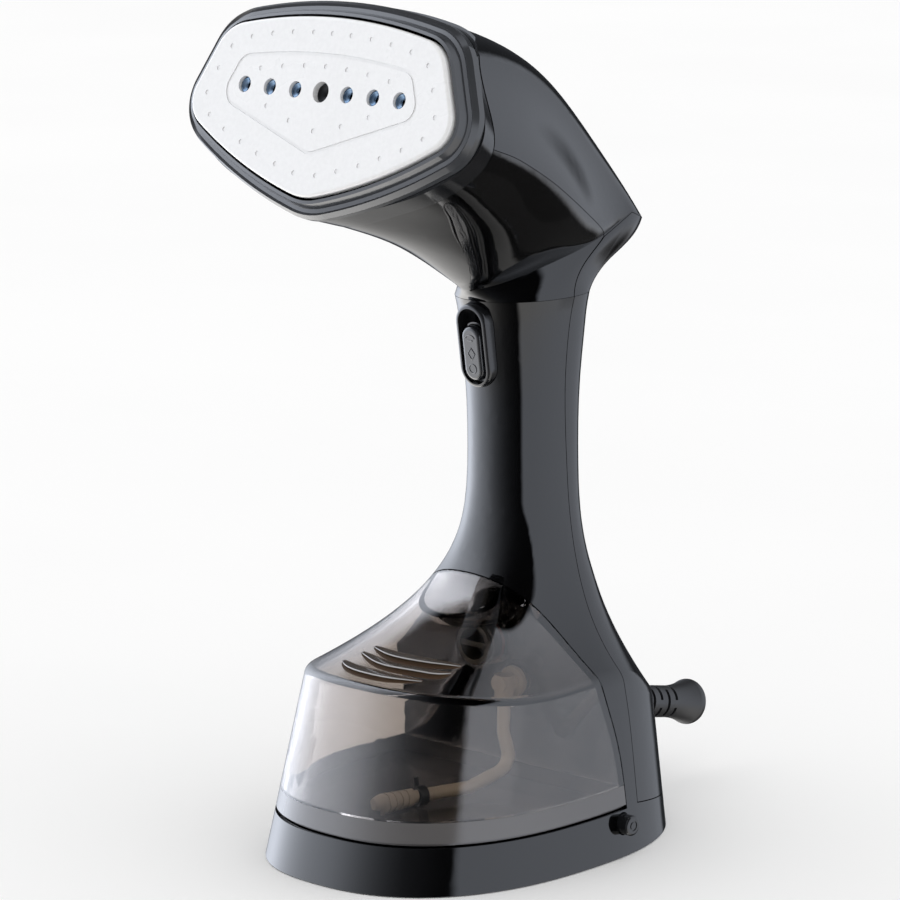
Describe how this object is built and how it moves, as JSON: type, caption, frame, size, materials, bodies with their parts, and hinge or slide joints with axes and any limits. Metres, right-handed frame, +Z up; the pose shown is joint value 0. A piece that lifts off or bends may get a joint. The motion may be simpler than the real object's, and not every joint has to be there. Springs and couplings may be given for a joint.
{
  "type": "garment steamer",
  "caption": "Handheld upright garment steamer: flared steam head with a ceramic plate, slim handle and a slide-off clear water tank on a flat base.",
  "frame": {"origin": "middle of the flat underside of the base", "axes": "+Z up along the handle, -Y the way the steam plate and water tank face, +X the steamer's own right hand side seen from behind the handle; the cord leaves towards +Y"},
  "size_m": [0.124, 0.1922, 0.2785],
  "materials": {
    "shell_black": "glossy black injection moulding",
    "collar_black": "glossy black ring",
    "bezel_black": "glossy dark ring round the plate",
    "plate_white": "smooth white ceramic coating",
    "tank_clear": "clear smoky tank moulding",
    "tank_band": "smoky lower tank moulding",
    "cap_olive": "satin dark cap",
    "fitting_beige": "pale moulded fitting",
    "hose_silicone": "translucent silicone hose",
    "clip_black": "black clip",
    "boot_rubber": "matte flexible sleeve",
    "button_black": "glossy button",
    "switch_grey": "glossy grey-black switch",
    "pad_rubber": "matte foot pad",
    "base_plastic": "matte inner moulding",
    "steel": "bright steel",
    "cast_alloy": "die cast",
    "brass_part": "machined brass",
    "gasket_red": "red silicone seal",
    "coil_body": "moulded coil",
    "block_white": "white terminal moulding",
    "wire_cover": "soft wire cover"
  },
  "bodies": {
    "body": {"front_housing": "shell_black", "rear_housing": "shell_black", "upper_cover": "shell_black", "neck_shell": "shell_black", "tail_shell": "shell_black", "collar": "collar_black", "bezel": "bezel_black", "steam_plate": "plate_white", "plate_gasket": "gasket_red", "steam_chamber": "cast_alloy", "chamber_screws": "steel", "heating_element": "steel", "element_terminals": "brass_part", "thermostat": "steel", "thermal_fuse": "block_white", "chamber_inlet": "brass_part", "steam_hose": "hose_silicone", "base_plate": "base_plastic", "base_pad": "pad_rubber", "base_screws": "steel", "pump_body": "brass_part", "pump_coil": "coil_body", "pump_mounts": "pad_rubber", "inlet_hose": "hose_silicone", "tank_socket": "base_plastic", "socket_seal": "gasket_red", "terminal_block": "block_white", "wire_loom": "wire_cover", "cord_boot": "boot_rubber", "cord_clamp": "base_plastic", "clamp_screws": "steel", "release_spring_left": "steel", "release_spring_right": "steel", "switch_bezel": "button_black", "slide_switch": "base_plastic"},
    "tank": {"tank_shell": "tank_clear", "tank_base": "tank_band", "tank_outlet": "fitting_beige", "hose_fitting": "fitting_beige", "suction_hose": "hose_silicone", "hose_clip": "clip_black", "filter_weight": "fitting_beige"},
    "cap": {"filler_cap": "cap_olive", "filler_seal": "gasket_red"},
    "release_left": {"release_button_left": "button_black"},
    "release_right": {"release_button_right": "button_black"},
    "carriage": {"switch_carriage": "button_black", "button_spring": "steel"},
    "button": {"steam_button": "switch_grey"}
  },
  "joints": [
    {"name": "tank_slide", "type": "slide", "parent": "body", "child": "tank", "axis": [0, -1, 0], "range_m": [0, 0.12]},
    {"name": "cap_turn", "type": "hinge", "parent": "tank", "child": "cap", "pos_m": [0.003, 0.009, 0.0654], "axis": [0, 1, 0], "range_deg": [0, 90]},
    {"name": "release_left_press", "type": "slide", "parent": "body", "child": "release_left", "axis": [1, 0, 0], "range_m": [0, 0.0025], "stiffness_N_per_m": 600, "springref_m": -0.001, "deforming": ["release_spring_left"]},
    {"name": "release_right_press", "type": "slide", "parent": "body", "child": "release_right", "axis": [-1, 0, 0], "range_m": [0, 0.0025], "stiffness_N_per_m": 600, "springref_m": -0.001, "deforming": ["release_spring_right"]},
    {"name": "switch_slide", "type": "slide", "parent": "body", "child": "carriage", "axis": [0, -0.1478, 0.989], "range_m": [0, 0.0045]},
    {"name": "steam_press", "type": "slide", "parent": "carriage", "child": "button", "axis": [0, 0.989, 0.1478], "range_m": [0, 0.0016], "stiffness_N_per_m": 400, "springref_m": -0.001, "deforming": ["button_spring"]}
  ]
}
